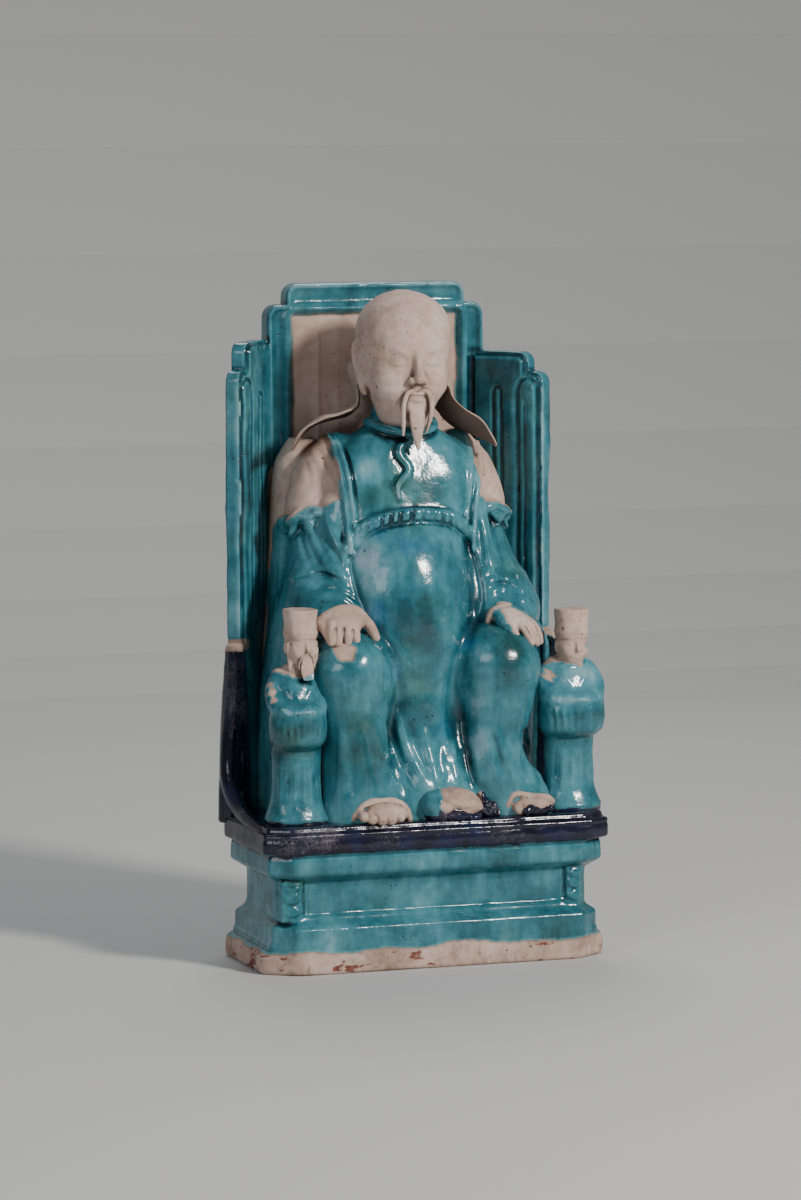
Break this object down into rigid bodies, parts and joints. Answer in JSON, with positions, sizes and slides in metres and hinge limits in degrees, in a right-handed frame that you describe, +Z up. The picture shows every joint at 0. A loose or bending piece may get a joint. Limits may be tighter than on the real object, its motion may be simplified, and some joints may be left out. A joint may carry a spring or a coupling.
{
  "type": "seated dignitary figure",
  "caption": "Glazed porcelain figure of a seated dignitary on a stepped-back throne and waisted plinth, flanked by small attendants, for standing on a shelf.",
  "frame": {"origin": "on the underside of the plinth, under the middle of the bounding box", "axes": "+Z up; the figure faces -Y; +X is to the right of a person looking at its front"},
  "size_m": [0.2142, 0.1361, 0.39],
  "materials": {
    "glazed_body": "glossy turquoise glaze pooling darker in hollows, dark aubergine glaze on the seat slab and panel ends, unglazed pinkish biscuit on heads, hands, feet, shoulders and foot rim"
  },
  "bodies": {
    "root": {"seated_dignitary_figure": "glazed_body"}
  },
  "joints": []
}
